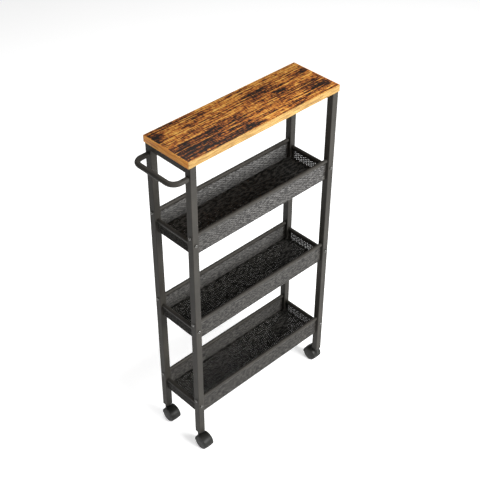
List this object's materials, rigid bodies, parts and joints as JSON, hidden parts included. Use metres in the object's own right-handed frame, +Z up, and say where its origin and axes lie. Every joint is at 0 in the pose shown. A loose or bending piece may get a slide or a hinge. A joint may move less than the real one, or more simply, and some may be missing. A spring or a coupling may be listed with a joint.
{
  "type": "rolling pantry cart",
  "caption": "Slim rolling storage cart with mesh baskets between square legs, a wood-effect top, a push handle and twin-wheel swivel casters.",
  "frame": {"origin": "on the floor, under the middle of the cart's outline", "axes": "+X along the cart away from the handle end, +Y to the left of someone pushing it by the handle, +Z up"},
  "size_m": [0.63, 0.25, 1.1],
  "materials": {
    "board": "satin rustic wood-effect laminate",
    "edge_band": "satin wood-effect edge strip",
    "frame_paint": "matte dark grey powder coat",
    "mesh_paint": "matte dark grey powder coat",
    "caster_plastic": "matte moulded",
    "wheel_plastic": "fine matte moulded",
    "steel": "zinc plated",
    "bolt_steel": "satin black zinc plated"
  },
  "bodies": {
    "cart_frame": {"tabletop_board": "board", "tabletop_edge_bands": "edge_band", "tabletop_screws": "steel", "threaded_inserts": "steel", "frame_bolts": "bolt_steel", "leg_plugs": "caster_plastic", "handle": "frame_paint", "top_rail_near": "frame_paint", "leg_near_left": "frame_paint", "leg_near_right": "frame_paint", "top_rail_far": "frame_paint", "leg_far_left": "frame_paint", "leg_far_right": "frame_paint", "upper_basket_left_rail": "frame_paint", "upper_basket_left_mesh": "mesh_paint", "upper_basket_right_rail": "frame_paint", "upper_basket_right_mesh": "mesh_paint", "upper_basket_near_rail": "frame_paint", "upper_basket_near_mesh": "mesh_paint", "upper_basket_far_rail": "frame_paint", "upper_basket_far_mesh": "mesh_paint", "upper_basket_floor_mesh": "mesh_paint", "middle_basket_left_rail": "frame_paint", "middle_basket_left_mesh": "mesh_paint", "middle_basket_right_rail": "frame_paint", "middle_basket_right_mesh": "mesh_paint", "middle_basket_near_rail": "frame_paint", "middle_basket_near_mesh": "mesh_paint", "middle_basket_far_rail": "frame_paint", "middle_basket_far_mesh": "mesh_paint", "middle_basket_floor_mesh": "mesh_paint", "lower_basket_left_rail": "frame_paint", "lower_basket_left_mesh": "mesh_paint", "lower_basket_right_rail": "frame_paint", "lower_basket_right_mesh": "mesh_paint", "lower_basket_near_rail": "frame_paint", "lower_basket_near_mesh": "mesh_paint", "lower_basket_far_rail": "frame_paint", "lower_basket_far_mesh": "mesh_paint", "lower_basket_floor_mesh": "mesh_paint", "caster_near_left_stem": "steel", "caster_near_right_stem": "steel", "caster_far_left_stem": "steel", "caster_far_right_stem": "steel"},
    "caster_near_left_swivel": {"caster_near_left_hood": "caster_plastic", "caster_near_left_axle": "steel"},
    "caster_near_left_near_wheel": {"caster_near_left_near_wheel": "wheel_plastic"},
    "caster_near_left_far_wheel": {"caster_near_left_far_wheel": "wheel_plastic"},
    "caster_near_right_swivel": {"caster_near_right_hood": "caster_plastic", "caster_near_right_axle": "steel"},
    "caster_near_right_near_wheel": {"caster_near_right_near_wheel": "wheel_plastic"},
    "caster_near_right_far_wheel": {"caster_near_right_far_wheel": "wheel_plastic"},
    "caster_far_left_swivel": {"caster_far_left_hood": "caster_plastic", "caster_far_left_axle": "steel"},
    "caster_far_left_near_wheel": {"caster_far_left_near_wheel": "wheel_plastic"},
    "caster_far_left_far_wheel": {"caster_far_left_far_wheel": "wheel_plastic"},
    "caster_far_right_swivel": {"caster_far_right_hood": "caster_plastic", "caster_far_right_axle": "steel"},
    "caster_far_right_near_wheel": {"caster_far_right_near_wheel": "wheel_plastic"},
    "caster_far_right_far_wheel": {"caster_far_right_far_wheel": "wheel_plastic"}
  },
  "joints": [
    {"name": "caster_near_left_swivel_turn", "type": "hinge", "parent": "cart_frame", "child": "caster_near_left_swivel", "pos_m": [-0.246, 0.08, 0.054], "axis": [0, 0, 1], "continuous": true},
    {"name": "caster_near_left_near_wheel_roll", "type": "hinge", "parent": "caster_near_left_swivel", "child": "caster_near_left_near_wheel", "pos_m": [-0.246, 0.062, 0.024], "axis": [1, 0, 0], "continuous": true},
    {"name": "caster_near_left_far_wheel_roll", "type": "hinge", "parent": "caster_near_left_swivel", "child": "caster_near_left_far_wheel", "pos_m": [-0.246, 0.062, 0.024], "axis": [1, 0, 0], "continuous": true},
    {"name": "caster_near_right_swivel_turn", "type": "hinge", "parent": "cart_frame", "child": "caster_near_right_swivel", "pos_m": [-0.246, -0.08, 0.054], "axis": [0, 0, 1], "continuous": true},
    {"name": "caster_near_right_near_wheel_roll", "type": "hinge", "parent": "caster_near_right_swivel", "child": "caster_near_right_near_wheel", "pos_m": [-0.246, -0.098, 0.024], "axis": [1, 0, 0], "continuous": true},
    {"name": "caster_near_right_far_wheel_roll", "type": "hinge", "parent": "caster_near_right_swivel", "child": "caster_near_right_far_wheel", "pos_m": [-0.246, -0.098, 0.024], "axis": [1, 0, 0], "continuous": true},
    {"name": "caster_far_left_swivel_turn", "type": "hinge", "parent": "cart_frame", "child": "caster_far_left_swivel", "pos_m": [0.296, 0.08, 0.054], "axis": [0, 0, 1], "continuous": true},
    {"name": "caster_far_left_near_wheel_roll", "type": "hinge", "parent": "caster_far_left_swivel", "child": "caster_far_left_near_wheel", "pos_m": [0.296, 0.098, 0.024], "axis": [1, 0, 0], "continuous": true},
    {"name": "caster_far_left_far_wheel_roll", "type": "hinge", "parent": "caster_far_left_swivel", "child": "caster_far_left_far_wheel", "pos_m": [0.296, 0.098, 0.024], "axis": [1, 0, 0], "continuous": true},
    {"name": "caster_far_right_swivel_turn", "type": "hinge", "parent": "cart_frame", "child": "caster_far_right_swivel", "pos_m": [0.296, -0.08, 0.054], "axis": [0, 0, 1], "continuous": true},
    {"name": "caster_far_right_near_wheel_roll", "type": "hinge", "parent": "caster_far_right_swivel", "child": "caster_far_right_near_wheel", "pos_m": [0.296, -0.062, 0.024], "axis": [1, 0, 0], "continuous": true},
    {"name": "caster_far_right_far_wheel_roll", "type": "hinge", "parent": "caster_far_right_swivel", "child": "caster_far_right_far_wheel", "pos_m": [0.296, -0.062, 0.024], "axis": [1, 0, 0], "continuous": true}
  ]
}
